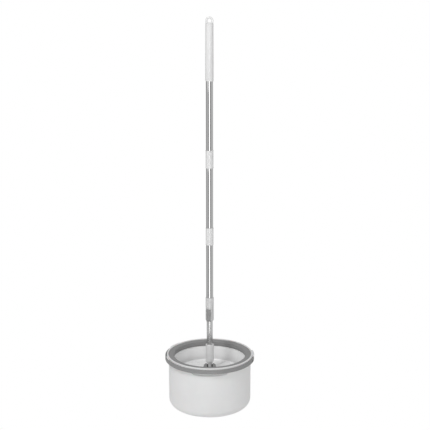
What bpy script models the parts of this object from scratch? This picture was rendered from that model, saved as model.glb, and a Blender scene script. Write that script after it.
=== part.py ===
"""Spin mop standing in its round low bucket. Metres, +Z up, front faces -Y.

The bucket is the root: shell, rim ring, carrying handle, and a spin basket on a
steel axle. The mop is a pad under a plate, a tilting foot, an inner tube, and a
three-section outer handle whose twisted rod turns the head when it is pushed down.
"""
import math

import bmesh
import bpy
from mathutils import Matrix, Vector

for thing in list(bpy.data.objects):
    bpy.data.objects.remove(thing, do_unlink=True)

# ---------------------------------------------------------------- dimensions
GAP = 0.0003                    # running gap left between touching pieces

# bucket shell, polypropylene
BODY_R = 0.1325                 # outer radius of the straight wall
WALL = 0.0025
BASE_Z = 0.0015                 # underside, the feet stand this proud
BASE_FILLET = 0.0250
SEAT_Z = 0.1716                 # ledge that the rim ring sits on
BEAD_R = 0.1387                 # outer radius of the rim bead
BEAD_Z = 0.1757                 # top of the rim bead
BOSS_R = 0.0110                 # boss that holds the axle
BOSS_Z = 0.0340
SCOOP_HALF = 0.062              # finger scoop under the carrying handle
SCOOP_Z = 0.1540
SCOOP_DROP = 0.0105
SCOOP_DEPTH = 0.0055

# rim ring
RING_R = 0.1332
RING_IN = 0.1158
RING_Z = 0.1748
LIP_Z = 0.1590

# carrying handle, a half ring folded down round the rim
YAW = math.radians(-16)         # direction of the pivot line
BAIL_IN = 0.1405
BAIL_OUT = 0.1441
BAIL_LOW = 0.1585
BAIL_HIGH = 0.1716
BAIL_TAIL = math.radians(8)     # each end runs this far past its pivot
PIN_R = 0.0025
EAR_SPAN = math.radians(20)
PIVOT_Z = (BAIL_LOW + BAIL_HIGH) / 2

# axle and spin basket
AXLE_R = 0.0040
AXLE_TOP = 0.0790
BASKET_R = 0.1195
BASKET_WALL = 0.0020
BASKET_TOP = 0.1568
BASKET_FLOOR = 0.0885
SLOTS = 12

# mop head
PAD_R = 0.1085
PLATE_R = 0.1030
PLATE_Z = 0.1062
PLATE_TOP = 0.1195
HUB_R = 0.0196
HUB_TOP = 0.1348
SOCKET_R = 0.0095
FOOT_Z = 0.1315                 # height of the tilt pin

# pole
OUTER_R = 0.0111
INNER_R = 0.0097
TUBE_WALL = 0.0007
SLEEVE_R = 0.0132
SLEEVE_TOP = 0.2060
INNER_LOW = 0.1600
INNER_HIGH = 0.4520
HOUSING_R = 0.0130
HOUSING_LOW = 0.2880
HOUSING_HIGH = 0.3640
LOWER_END = 0.3380
JOIN_1 = 0.5800                 # lower to middle tube
JOIN_2 = 0.8120                 # middle to upper tube
COLLAR_1 = (0.5380, 0.5930)
COLLAR_2 = (0.7840, 0.8400)
COLLAR_R = 0.0123
UPPER_END = 1.2180
GRIP = (1.0530, 1.2250)
GRIP_R = 0.0125
LOOP_TOP = 1.2470

# screw drive
PITCH = 0.090                   # advance of the twisted rod per turn
ROD_HALF = 0.0025
ROD = (0.3150, 0.5580)

# lock lever
LEVER_YAW = math.radians(-12)
LEVER_Y = -0.0158
LEVER_Z = 0.3240
LEVER_HALF = 0.0070

FINE = 64                       # facets round the bucket
MID = 48
COARSE = 28
SMALL = 20


# ------------------------------------------------------------------- helpers
def material(name, colour, rough, metallic=0.0):
    made = bpy.data.materials.new(name)
    made.use_nodes = True
    shader = made.node_tree.nodes["Principled BSDF"]
    shader.inputs["Base Color"].default_value = (*colour, 1.0)
    shader.inputs["Roughness"].default_value = rough
    shader.inputs["Metallic"].default_value = metallic
    made.diffuse_color = (*colour, 1.0)
    return made


def finish(name, mesh, look, sharp=35):
    thing = bpy.data.objects.new(name, mesh)
    bpy.context.scene.collection.objects.link(thing)
    mesh.materials.append(look)
    mesh.polygons.foreach_set("use_smooth", [True] * len(mesh.polygons))
    mesh.set_sharp_from_angle(angle=math.radians(sharp))
    return thing


def rounded(corners):
    """Outline of (r, z) with each (r, z, fillet) corner turned into an arc."""
    outline = []
    for i, corner in enumerate(corners):
        here = Vector(corner[:2])
        if len(corner) < 3:
            outline.append(tuple(here))
            continue
        before = (Vector(corners[i - 1][:2]) - here).normalized()
        after = (Vector(corners[(i + 1) % len(corners)][:2]) - here).normalized()
        half = before.angle(after) / 2
        reach = corner[2] / math.tan(half)
        centre = here + (before + after).normalized() * (corner[2] / math.sin(half))
        start = here + before * reach - centre
        end = here + after * reach - centre
        sweep = start.angle(end)
        steps = 1 if corner[2] < 0.0009 else 2 if corner[2] < 0.0038 else 3
        if corner[2] > BASE_FILLET - WALL:
            steps = 6
        for k in range(steps + 1):
            a = math.sin((1 - k / steps) * sweep) / math.sin(sweep)
            b = math.sin(k / steps * sweep) / math.sin(sweep)
            outline.append(tuple(centre + start * a + end * b))
    return outline


def lathe(name, outline, steps, look):
    """Closed solid of revolution about Z from a closed outline of (r, z)."""
    bm = bmesh.new()
    rings = []
    for r, z in outline:
        if r < 1e-7:
            rings.append([bm.verts.new((0, 0, z))] * steps)
        else:
            rings.append([
                bm.verts.new((r * math.cos(a), r * math.sin(a), z))
                for a in (2 * math.pi * k / steps for k in range(steps))
            ])
    for i, low in enumerate(rings):
        high = rings[(i + 1) % len(rings)]
        for k in range(steps):
            ring = [low[k], low[(k + 1) % steps], high[(k + 1) % steps], high[k]]
            unique = list(dict.fromkeys(ring))
            if len(unique) > 2:
                bm.faces.new(unique)
    return solid(name, bm, look)


def solid(name, bm, look, sharp=35):
    bmesh.ops.recalc_face_normals(bm, faces=bm.faces)
    if bm.calc_volume(signed=True) < 0:
        bmesh.ops.reverse_faces(bm, faces=bm.faces)
    mesh = bpy.data.meshes.new(name)
    bm.to_mesh(mesh)
    bm.free()
    return finish(name, mesh, look, sharp)


def loft(name, sections, look, sharp=35):
    """Solid through a row of equal closed sections, capped at both ends."""
    bm = bmesh.new()
    rings = [[bm.verts.new(p) for p in section] for section in sections]
    count = len(rings[0])
    for low, high in zip(rings, rings[1:]):
        for k in range(count):
            bm.faces.new([low[k], low[(k + 1) % count], high[(k + 1) % count], high[k]])
    bm.faces.new(rings[0][::-1])
    bm.faces.new(rings[-1])
    return solid(name, bm, look, sharp)


def tube(name, outer, inner, low, high, look, steps=COARSE):
    return lathe(name, [(inner, low), (outer, low), (outer, high), (inner, high)], steps, look)


def rod(name, radius, start, end, look, steps=20, chamfer=0.0003):
    """Round bar between two points, its ends lightly chamfered."""
    start, end = Vector(start), Vector(end)
    length = (end - start).length
    outline = [(0, 0), (radius - chamfer, 0), (radius, chamfer),
               (radius, length - chamfer), (radius - chamfer, length), (0, length)]
    made = lathe(name, outline, steps, look)
    turn = Vector((0, 0, 1)).rotation_difference(end - start).to_matrix().to_4x4()
    made.data.transform(Matrix.Translation(start) @ turn)
    return made


def box(name, low, high, look):
    bm = bmesh.new()
    bmesh.ops.create_cube(bm, size=1)
    centre = [(a + b) / 2 for a, b in zip(low, high)]
    sides = [b - a for a, b in zip(low, high)]
    bmesh.ops.transform(
        bm, matrix=Matrix.Translation(centre) @ Matrix.Diagonal((*sides, 1)), verts=bm.verts
    )
    return solid(name, bm, look)


def join(target, other, how="DIFFERENCE"):
    """Boolean of a helper into the target; the helper is kept as a hidden guide."""
    step = target.modifiers.new(other.name, "BOOLEAN")
    step.operation = how
    step.solver = "EXACT"
    step.object = other
    other.hide_render = True
    other.hide_set(True)
    other.display_type = "WIRE"


def turned(thing, angle, about=(0, 0, 0)):
    """Turns the mesh about a vertical line, leaving the object's frame alone."""
    about = Vector(about)
    thing.data.transform(
        Matrix.Translation(about) @ Matrix.Rotation(angle, 4, "Z") @ Matrix.Translation(-about)
    )
    return thing


def arc_block(name, inner, outer, low, high, start, end, look, steps, round_ends=0.0):
    """Curved bar round the bucket; round_ends is the radius of its two rounded tips."""
    angles = [start + (end - start) * k / steps for k in range(steps + 1)]
    heights = [(low, high)] * len(angles)
    if round_ends:
        middle, half = (low + high) / 2, (high - low) / 2
        mean = (inner + outer) / 2
        tips = 5
        tip = [math.sin(math.pi / 2 * k / tips) for k in range(tips + 1)]
        first = [start - round_ends / mean * math.cos(math.pi / 2 * k / tips)
                 for k in range(tips)]
        last = [end + round_ends / mean * math.cos(math.pi / 2 * k / tips)
                for k in reversed(range(tips))]
        grow = [max(half * t, 0.0012) for t in tip[:tips]]
        heights = ([(middle - g, middle + g) for g in grow] + heights
                   + [(middle - g, middle + g) for g in reversed(grow)])
        angles = first + angles + last
    soft = 0.0009
    sections = []
    for a, (lo, hi) in zip(angles, heights):
        direction = Vector((math.cos(a), math.sin(a), 0))
        lo_c, hi_c = lo + min(soft, (hi - lo) / 4), hi - min(soft, (hi - lo) / 4)
        sections.append([
            direction * r + Vector((0, 0, z))
            for r, z in ((inner + soft, lo), (outer - soft, lo), (outer, lo_c), (outer, hi_c),
                         (outer - soft, hi), (inner + soft, hi), (inner, hi_c), (inner, lo_c))
        ])
    return loft(name, sections, look)


WHITE_PP = material("white_polypropylene", (0.80, 0.80, 0.80), 0.38)
GREY_PP = material("dark_grey_polypropylene", (0.22, 0.22, 0.22), 0.45)
LIGHT_PP = material("light_grey_abs", (0.60, 0.60, 0.60), 0.35)
WHITE_ABS = material("white_abs", (0.82, 0.82, 0.82), 0.30)
STEEL = material("stainless_tube", (0.62, 0.62, 0.62), 0.22, 1.0)
PLATED = material("zinc_plated_steel", (0.70, 0.70, 0.72), 0.30, 1.0)
ACETAL = material("acetal", (0.85, 0.85, 0.83), 0.40)
RUBBER = material("thermoplastic_rubber", (0.10, 0.10, 0.10), 0.80)
FIBRE = material("microfibre", (0.86, 0.86, 0.86), 0.95)
HOOK = material("hook_tape", (0.35, 0.35, 0.36), 0.90)


# -------------------------------------------------------------- bucket shell
INNER_WALL = BODY_R - WALL
shell_outline = rounded([
    (0, BASE_Z),
    (BODY_R, BASE_Z, BASE_FILLET),
    (BODY_R, 0.1660),
    (BEAD_R - 0.0010, 0.1692),
    (BEAD_R, 0.1705),
    (BEAD_R, BEAD_Z, 0.0016),
    (RING_R + GAP, BEAD_Z, 0.0012),
    (RING_R + GAP, SEAT_Z),
    (INNER_WALL, SEAT_Z),
    (INNER_WALL, BASE_Z + WALL + 0.0005, BASE_FILLET - WALL),
    (0.0160, BASE_Z + WALL + 0.0005),
    (BOSS_R, BASE_Z + WALL + 0.0060),
    (BOSS_R, BOSS_Z, 0.0006),
    (AXLE_R + GAP, BOSS_Z),
    (AXLE_R + GAP, 0.0100),
    (0, 0.0100),
])
bucket_shell = lathe("bucket_shell", shell_outline, FINE, WHITE_PP)

# bosses for the handle pins, and the ears that the handle's two ends stop against
for side, where in (("right", YAW), ("left", YAW + math.pi)):
    boss = box(f"guide_boss_{side}", (BODY_R - 0.0012, -0.009, PIVOT_Z - 0.006),
               (BAIL_IN - 0.0010, 0.009, PIVOT_Z + 0.006), WHITE_PP)
    join(bucket_shell, turned(boss, where), "UNION")
    hole = rod(f"guide_hole_{side}", PIN_R + GAP, (0.1343, 0, PIVOT_Z),
               (0.1500, 0, PIVOT_Z), WHITE_PP)
    join(bucket_shell, turned(hole, where))
for side, sign, where in (("right", 1, YAW), ("left", -1, YAW + math.pi)):
    near = where + sign * (BAIL_TAIL + math.radians(0.8))
    far = near + sign * EAR_SPAN
    ear = arc_block(f"guide_ear_{side}", RING_R + 0.0020, BAIL_OUT, BAIL_LOW + 0.0010,
                    BEAD_Z - 0.0012, min(near, far), max(near, far), WHITE_PP, 8)
    join(bucket_shell, ear, "UNION")
    root = arc_block(f"guide_root_{side}", BODY_R - 0.0012, BAIL_OUT - 0.0030, BAIL_LOW + 0.0015,
                     SEAT_Z - 0.0015, min(near, far) + 0.004, max(near, far) - 0.004, WHITE_PP, 7)
    join(bucket_shell, root, "UNION")

# finger scoop: the wall is thickened inwards first, then hollowed from outside
scoop_wall = arc_block("guide_scoop_wall", BODY_R - WALL - SCOOP_DEPTH, BODY_R - 0.0011,
                       SCOOP_Z - SCOOP_DROP - 0.0040, SCOOP_Z + SCOOP_DROP - 0.0015,
                       math.radians(-90) - 0.503, math.radians(-90) + 0.497, WHITE_PP, 13)
join(bucket_shell, scoop_wall, "UNION")
bm = bmesh.new()
bmesh.ops.create_uvsphere(bm, u_segments=32, v_segments=14, radius=1)
scoop_reach = 1.1 * (BODY_R * (1 - math.cos(SCOOP_HALF / BODY_R)) + SCOOP_DEPTH)
bmesh.ops.transform(
    bm,
    matrix=Matrix.Translation((0.0002, -BODY_R - scoop_reach, SCOOP_Z))
    @ Matrix.Diagonal((SCOOP_HALF * 1.45, scoop_reach + SCOOP_DEPTH, SCOOP_DROP * 1.7, 1)),
    verts=bm.verts,
)
join(bucket_shell, solid("guide_scoop", bm, WHITE_PP))

# four rubber feet in shallow recesses
for n in range(4):
    angle = math.radians(45 + 90 * n)
    x, y = 0.090 * math.cos(angle), 0.090 * math.sin(angle)
    recess = rod(f"guide_foot_{n + 1}", 0.0093, (x, y, -0.001), (x, y, BASE_Z + 0.0012), WHITE_PP)
    join(bucket_shell, recess)
    rod(f"foot_{n + 1}", 0.0090, (x, y, 0), (x, y, BASE_Z + 0.0012 - GAP), RUBBER, chamfer=0.0006)

# ----------------------------------------------------------------- rim ring
ring_outline = rounded([
    (RING_IN, LIP_Z),
    (RING_IN + 0.0022, LIP_Z),
    (RING_IN + 0.0022, SEAT_Z + GAP - 0.0002),
    (0.1268, SEAT_Z + GAP - 0.0002),
    (0.1268, 0.1640),
    (0.1294, 0.1640),
    (0.1294, SEAT_Z + GAP),
    (RING_R, SEAT_Z + GAP),
    (RING_R, RING_Z, 0.0014),
    (RING_IN, RING_Z, 0.0026),
])
rim_ring = lathe("rim_ring", ring_outline, FINE, GREY_PP)

# ---------------------------------------------------------- carrying handle
bail_start = YAW - math.pi - BAIL_TAIL + 0.0065 / 0.1423
bail_end = YAW + BAIL_TAIL - 0.0065 / 0.1423
carry_handle = arc_block("carry_handle", BAIL_IN, BAIL_OUT, BAIL_LOW, BAIL_HIGH,
                         bail_start, bail_end, GREY_PP, 44, round_ends=0.0065)
for side, where in (("right", YAW), ("left", YAW + math.pi)):
    hole = rod(f"guide_bail_{side}", PIN_R + GAP, (0.1380, 0, PIVOT_Z),
               (0.1480, 0, PIVOT_Z), GREY_PP)
    join(carry_handle, turned(hole, where))
    outline = [(0, 0), (PIN_R, 0), (PIN_R, 0.0099), (0.0046, 0.0099), (0.0046, 0.0106),
               (0.0040, 0.0112), (0, 0.0112)]
    pin = lathe(f"handle_pin_{side}", outline, 16, GREY_PP)
    pin.data.transform(Matrix.Translation((0.1345, 0, PIVOT_Z)) @ Matrix.Rotation(math.pi / 2, 4, "Y"))
    turned(pin, where)

# --------------------------------------------------------- axle and basket
rod("axle", AXLE_R, (0, 0, 0.0103), (0, 0, AXLE_TOP), PLATED, chamfer=0.0010)
tube("thrust_washer", 0.0105, AXLE_R + GAP, BOSS_Z + GAP, BOSS_Z + 0.0020, PLATED, SMALL)
lathe("basket_bush", [
    (AXLE_R + GAP, 0.0363), (0.0105, 0.0363), (0.0105, 0.0390), (0.0087, 0.0390),
    (0.0087, 0.0775), (AXLE_R + GAP, 0.0775),
], SMALL, ACETAL)
basket_outline = rounded([
    (0, BASKET_FLOOR - 0.0030),
    (0, 0.0820),
    (0.0090, 0.0820),
    (0.0090, 0.0394),
    (0.0125, 0.0394),
    (0.0125, 0.0800),
    (0.0180, BASKET_FLOOR - 0.0025),
    (BASKET_R - 0.0025, BASKET_FLOOR - 0.0025, 0.0060),
    (BASKET_R, BASKET_TOP - 0.0040),
    (BASKET_R + 0.0008, BASKET_TOP - 0.0030),
    (BASKET_R + 0.0008, BASKET_TOP, 0.0008),
    (BASKET_R - BASKET_WALL, BASKET_TOP, 0.0008),
    (BASKET_R - 0.0025 - BASKET_WALL, BASKET_FLOOR, 0.0040),
    (0, BASKET_FLOOR),
][1:])
basket = lathe("basket", basket_outline, FINE, WHITE_PP)
for n in range(SLOTS):
    slot = box(f"guide_slot_{n + 1}", (0.060, -0.0025, 0.080), (0.098, 0.0025, 0.095), WHITE_PP)
    join(basket, turned(slot, 2 * math.pi * n / SLOTS))

# ------------------------------------------------------------------ mop head
lathe("mop_pad", rounded([
    (0, BASKET_FLOOR + GAP), (PAD_R - 0.003, BASKET_FLOOR + GAP, 0.0030),
    (PAD_R, 0.0965, 0.0035), (PAD_R - 0.003, 0.1045, 0.0030), (0, 0.1045),
]), MID, FIBRE)
tube("hook_disc", 0.0960, 0.0300, 0.1048, 0.1059, HOOK, MID)
mop_plate = lathe("mop_plate", rounded([
    (0, PLATE_Z), (PLATE_R - 0.0010, PLATE_Z), (PLATE_R, PLATE_Z + 0.0015),
    (PLATE_R, 0.1175, 0.0012), (PLATE_R - 0.0034, 0.1175, 0.0008),
    (PLATE_R - 0.0055, 0.1142), (0.0600, 0.1158), (0.0310, PLATE_TOP), (0, PLATE_TOP),
]), MID, WHITE_ABS)

# hub: a round block with a deep socket, low in front and open to the back, so the pole leans back
hub = lathe("hub_socket", rounded([
    (0, PLATE_TOP + GAP), (0.0270, PLATE_TOP + GAP), (0.0270, 0.1226, 0.0006),
    (HUB_R + 0.0006, 0.1226), (HUB_R, HUB_TOP, 0.0022), (0, HUB_TOP),
]), 36, GREY_PP)
cup = rod("guide_cup", SOCKET_R, (0, 0, 0.1240), (0, 0, 0.1500), GREY_PP, steps=32, chamfer=0.002)
join(hub, cup)
join(hub, box("guide_back", (-SOCKET_R + 0.0001, 0, 0.1240), (SOCKET_R - 0.0001, 0.0400, 0.1500), GREY_PP))
join(hub, box("guide_front", (-SOCKET_R + 0.0002, -0.0400, 0.1288), (SOCKET_R - 0.0002, 0, 0.1510), GREY_PP))
join(hub, rod("guide_pin", 0.0025, (-0.030, 0, FOOT_Z), (0.030, 0, FOOT_Z), GREY_PP))
rod("tilt_pin", 0.0022, (-0.0184, 0, FOOT_Z), (0.0184, 0, FOOT_Z), PLATED)

for n in range(4):
    angle = math.radians(45 + 90 * n)
    x, y = 0.0235 * math.cos(angle), 0.0235 * math.sin(angle)
    well = rod(f"guide_screw_{n + 1}", 0.0017, (x, y, 0.1120), (x, y, 0.1300), GREY_PP, 16, 0.0001)
    join(hub, well)
    join(mop_plate, well)
    screw = lathe(f"plate_screw_{n + 1}", [
        (0, -0.0090), (0.0008, -0.0090), (0.0014, -0.0080), (0.0014, 0.0003),
        (0.0028, 0.0003), (0.0028, 0.0012), (0.0020, 0.0019), (0, 0.0020),
    ], 14, PLATED)
    screw.data.transform(Matrix.Translation((x, y, 0.1226)))

# ----------------------------------------------------- foot and inner tube
foot_sleeve = lathe("foot_sleeve", rounded([
    (0, FOOT_Z - 0.0062), (0.0048, FOOT_Z - 0.0052), (0.0061, FOOT_Z - 0.0020),
    (0.0061, FOOT_Z + 0.0060, 0.003), (SLEEVE_R - 0.0002, 0.1500, 0.0030),
    (SLEEVE_R - 0.0002, SLEEVE_TOP, 0.0012),
    (INNER_R + GAP, SLEEVE_TOP), (INNER_R + GAP, INNER_LOW - GAP),
    (0, INNER_LOW - GAP),
]), COARSE, WHITE_ABS)
join(foot_sleeve, rod("guide_eye", 0.0025, (-0.02, 0, FOOT_Z), (0.02, 0, FOOT_Z), WHITE_ABS))
tube("inner_tube", INNER_R, INNER_R - TUBE_WALL, INNER_LOW, INNER_HIGH, STEEL)


def twisted(name, half, low, high, look, steps):
    """Square bar twisted one turn per PITCH; a height of 0 has no turn."""
    sections = []
    for k in range(steps + 1):
        z = low + (high - low) * k / steps
        turn = 2 * math.pi * z / PITCH
        sections.append([
            (half * math.sqrt(2) * math.cos(turn + q * math.pi / 2 + math.pi / 4),
             half * math.sqrt(2) * math.sin(turn + q * math.pi / 2 + math.pi / 4), z)
            for q in range(4)
        ])
    return loft(name, sections, look, 20)


BORE_R = INNER_R - TUBE_WALL - GAP
tube("clutch_ring", BORE_R, 0.0055, 0.4240, 0.4335, PLATED, SMALL)
nut = lathe("drive_nut", [(0, 0.4338), (BORE_R, 0.4338), (BORE_R, 0.4480), (0, 0.4480)], SMALL, ACETAL)
join(nut, twisted("guide_thread", ROD_HALF + 0.0004, 0.4300, 0.4520, ACETAL, 20))
lathe("slide_bush", [
    (0.0045, 0.4483), (BORE_R, 0.4483), (BORE_R, INNER_HIGH + GAP), (0.0101, INNER_HIGH + GAP),
    (0.0101, 0.4630), (0.0045, 0.4630),
], SMALL, ACETAL)

# -------------------------------------------------------------- outer handle
twisted("spiral_rod", ROD_HALF, ROD[0], ROD[1], PLATED, 64)
tube("rod_stop", 0.0066, 0.0039, 0.3165, 0.3235, PLATED, SMALL)
PLUG_R = OUTER_R - TUBE_WALL - GAP
lathe("rod_anchor", [(0.0039, 0.5430), (PLUG_R, 0.5430), (PLUG_R, 0.5600), (0.0039, 0.5600)],
      SMALL, ACETAL)
tube("lower_tube", OUTER_R, OUTER_R - TUBE_WALL, LOWER_END, JOIN_1, STEEL)
tube("middle_tube", OUTER_R, OUTER_R - TUBE_WALL, JOIN_1 + GAP, JOIN_2, STEEL)
tube("upper_tube", OUTER_R, OUTER_R - TUBE_WALL, JOIN_2 + GAP, UPPER_END, STEEL)
for n, (low, high) in enumerate(((0.5605, 0.6020), (0.7900, 0.8350))):
    tube(f"screw_plug_{n + 1}", PLUG_R, 0.0060, low, high, ACETAL, SMALL)
for n, (low, high) in enumerate((COLLAR_1, COLLAR_2)):
    lathe(f"collar_{n + 1}", rounded([
        (OUTER_R + GAP, low), (COLLAR_R + 0.0002, low, 0.0006),
        (COLLAR_R - 0.0002, low + 0.009), (COLLAR_R - 0.0002, high - 0.009),
        (COLLAR_R + 0.0002, high, 0.0006), (OUTER_R + GAP, high),
    ]), COARSE, WHITE_ABS)
lathe("grip_sleeve", rounded([
    (OUTER_R + GAP, GRIP[0]), (GRIP_R + 0.0003, GRIP[0], 0.0008), (GRIP_R - 0.0002, GRIP[1], 0.0005),
    (OUTER_R + GAP, GRIP[1]),
]), COARSE, WHITE_ABS)

# hanging loop: a plug in the tube's end carrying an inverted U
LOOP_X, LOOP_Y, HOLE_X = 0.0122, 0.0045, 0.0054
sections = []
for y in (-LOOP_Y, -LOOP_Y + 0.0012, LOOP_Y - 0.0012, LOOP_Y):
    inset = 0.0010 if abs(y) == LOOP_Y else 0.0
    wide, top = LOOP_X - inset, LOOP_TOP - inset
    arch = [(wide * math.cos(a), y, top - LOOP_X + inset + wide * math.sin(a))
            for a in (math.pi * k / 16 for k in range(17))]
    sections.append([(wide, y, 1.2262), *arch, (-wide, y, 1.2262)])
hang_loop = loft("hang_loop", sections, WHITE_ABS)
join(hang_loop, lathe("guide_plug", [
    (0, 1.2000), (PLUG_R - 0.0004, 1.2000), (PLUG_R, 1.2010), (PLUG_R, GRIP[1] - 0.0050),
    (PLUG_R, GRIP[1] + GAP), (0.0121, GRIP[1] + GAP), (0.0121, 1.2275), (0, 1.2275),
], COARSE, WHITE_ABS), "UNION")
hole_low, hole_high = 1.2283, 1.2402
sections = []
for y in (-0.02, 0.02):
    arch = [(HOLE_X * math.cos(a), y, hole_high - HOLE_X + HOLE_X * math.sin(a))
            for a in (math.pi * k / 12 for k in range(13))]
    sections.append([(HOLE_X, y, hole_low), *arch, (-HOLE_X, y, hole_low)])
join(hang_loop, loft("guide_loop_hole", sections, WHITE_ABS))

# ------------------------------------------------------- lock housing, lever
lock_housing = lathe("lock_housing", rounded([
    (INNER_R + GAP, HOUSING_LOW, 0.0005), (HOUSING_R, HOUSING_LOW, 0.0010),
    (HOUSING_R, HOUSING_HIGH, 0.0012), (OUTER_R + GAP, HOUSING_HIGH),
    (OUTER_R + GAP, LOWER_END - GAP), (INNER_R + GAP, LOWER_END - GAP),
]), COARSE, LIGHT_PP)
for side in (-1, 1):
    near, far = sorted((side * (LEVER_HALF + GAP), side * (LEVER_HALF + 0.0026)))
    cheek = box(f"guide_cheek_{side}", (near, LEVER_Y - 0.0026, LEVER_Z - 0.0065),
                (far, -0.0080, LEVER_Z + 0.0065), LIGHT_PP)
    join(lock_housing, turned(cheek, LEVER_YAW), "UNION")
window = box("guide_window", (-0.0045, -0.0200, LEVER_Z - 0.0053),
             (0.0045, -0.0050, LEVER_Z + 0.0053), LIGHT_PP)
join(lock_housing, turned(window, LEVER_YAW))
pin_hole = rod("guide_lever_hole", 0.0014, (-0.012, LEVER_Y, LEVER_Z), (0.012, LEVER_Y, LEVER_Z),
               LIGHT_PP, 20, 0.0001)
join(lock_housing, turned(pin_hole, LEVER_YAW))
turned(rod("lever_pin", 0.0011, (-0.0094, LEVER_Y, LEVER_Z), (0.0094, LEVER_Y, LEVER_Z),
           PLATED, 20, 0.0002), LEVER_YAW)

shoe = box("brake_shoe", (-0.0041, -0.0124, LEVER_Z - 0.0049), (0.0041, -0.0060, LEVER_Z + 0.0049), RUBBER)
join(shoe, rod("guide_shoe_bore", INNER_R + GAP, (0, 0, LEVER_Z - 0.02), (0, 0, LEVER_Z + 0.02), RUBBER, 40))
turned(shoe, LEVER_YAW)

# lever: round knuckle at the top, blade that curves out to a finger tip
knuckle = 0.0027
blade = [(knuckle * math.cos(a), knuckle * math.sin(a)) for a in
         (math.radians(d) for d in (20, 55, 90, 125, 160))]
blade += [(-0.0030, -0.0040), (-0.0034, -0.0200), (-0.0052, -0.0330), (-0.0048, -0.0350),
          (-0.0026, -0.0352), (0.0004, -0.0200), (0.0008, -0.0060)]
sections = []
for x, shrink in ((-LEVER_HALF, 0.0005), (-LEVER_HALF + 0.0006, 0), (LEVER_HALF - 0.0006, 0), (LEVER_HALF, 0.0005)):
    middle = Vector((-0.0015, -0.015))
    ring = []
    for y, z in blade:
        spot = Vector((y, z))
        spot += (middle - spot).normalized() * shrink
        ring.append((x, LEVER_Y + spot.x, LEVER_Z + spot.y))
    sections.append(ring)
lock_lever = loft("lock_lever", sections, GREY_PP)
turned(lock_lever, LEVER_YAW)
join(lock_lever, turned(rod("guide_lever_bore", 0.0014, (-0.012, LEVER_Y, LEVER_Z),
                            (0.012, LEVER_Y, LEVER_Z), GREY_PP, 20, 0.0001), LEVER_YAW))


# ---------------------------------------------------------------- joint axes
def hang_on(name, place, names):
    """Empty on a joint axis, with the moving pieces parented to it in place."""
    axis = bpy.data.objects.new(name, None)
    axis.location = place
    bpy.context.scene.collection.objects.link(axis)
    bpy.context.view_layer.update()
    for child in names:
        thing = bpy.data.objects[child]
        thing.parent = axis
        thing.matrix_parent_inverse = axis.matrix_world.inverted()


hang_on("axis_carry_handle", (0, 0, PIVOT_Z), ["carry_handle"])
hang_on("axis_basket", (0, 0, 0), ["basket", "basket_bush"])
hang_on("axis_foot_tilt", (0, 0, FOOT_Z), ["foot_sleeve", "inner_tube", "clutch_ring", "drive_nut"])
hang_on("axis_lock_lever", tuple(Matrix.Rotation(LEVER_YAW, 3, "Z") @ Vector((0, LEVER_Y, LEVER_Z))),
        ["lock_lever"])
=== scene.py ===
# %% [markdown]
# # A spin mop standing in its bucket
#
# The object is a household spin mop: a low round bucket with a grey rim, a carrying handle folded
# down round it, and a mop on a long steel pole standing in the spinning basket. This lesson dresses
# a finished mechanical model. Each visible part gets a smooth mesh and a finish that behaves like
# the real material. Every length is in metres, +Z is up, and the front of the bucket faces -Y.
#
# The first cell loads the mechanical model. Its parts stay where they are: a new piece is only ever
# laid over them, and rides on the body that moves it.

# %% Load the mechanical model
import math

import bmesh
import bpy
from mathutils import Matrix, Vector


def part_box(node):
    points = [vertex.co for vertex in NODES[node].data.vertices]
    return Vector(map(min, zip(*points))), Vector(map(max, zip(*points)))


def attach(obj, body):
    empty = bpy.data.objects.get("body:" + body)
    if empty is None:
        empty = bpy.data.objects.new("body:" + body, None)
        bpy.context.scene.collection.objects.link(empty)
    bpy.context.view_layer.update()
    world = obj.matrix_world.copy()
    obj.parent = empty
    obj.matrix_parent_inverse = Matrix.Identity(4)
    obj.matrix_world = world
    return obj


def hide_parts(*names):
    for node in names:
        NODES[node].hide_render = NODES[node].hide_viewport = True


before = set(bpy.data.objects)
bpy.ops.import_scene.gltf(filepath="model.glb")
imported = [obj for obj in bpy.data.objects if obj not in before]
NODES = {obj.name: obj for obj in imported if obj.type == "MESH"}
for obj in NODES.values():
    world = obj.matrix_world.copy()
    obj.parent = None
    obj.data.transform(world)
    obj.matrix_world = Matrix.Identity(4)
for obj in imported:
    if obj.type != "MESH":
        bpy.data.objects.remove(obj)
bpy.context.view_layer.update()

# %% [markdown]
# ## Camera
#
# The view is from standing height, three metres away, looking a little down. A long lens keeps the
# pole's sides parallel. The camera is made first, so that every later cell can be judged in it.

# %% Camera
LENS_MM, SENSOR_MM = 85, 36
CAMERA_AT, LOOK_DOWN = (0.0170, -3.107, 1.351), 12.99
camera_data = bpy.data.cameras.new("studio_camera")
camera_data.lens = LENS_MM
camera_data.sensor_width = SENSOR_MM
camera = bpy.data.objects.new("studio_camera", camera_data)
bpy.context.scene.collection.objects.link(camera)
camera.location = CAMERA_AT
camera.rotation_euler = (math.radians(90 - LOOK_DOWN), 0, 0)
bpy.context.scene.camera = camera
print("camera at", CAMERA_AT, "with a lens of", LENS_MM, "mm")

# %% [markdown]
# ## Two helpers for nodes
#
# Colours are given as the hex values a paint card would show. Shaders work in linear light, so one
# function turns them round. A second one adds any node with its settings and its links, which keeps
# the recipes below short enough to read.


# %% Node helpers
def linear(code):
    """Linear RGBA of an sRGB hex value."""
    levels = [int(code[i:i + 2], 16) / 255 for i in (1, 3, 5)]
    return (*[v / 12.92 if v <= 0.04045 else ((v + 0.055) / 1.055) ** 2.4 for v in levels], 1)


def add(tree, kind, into=None, **settings):
    """Adds a node, sets its properties, and fills its inputs with values or with links."""
    node = tree.nodes.new(kind)
    for key, value in settings.items():
        setattr(node, key, value)
    for key, value in (into or {}).items():
        if isinstance(value, bpy.types.NodeSocket):
            tree.links.new(value, node.inputs[key])
        else:
            node.inputs[key].default_value = value
    return node


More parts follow.
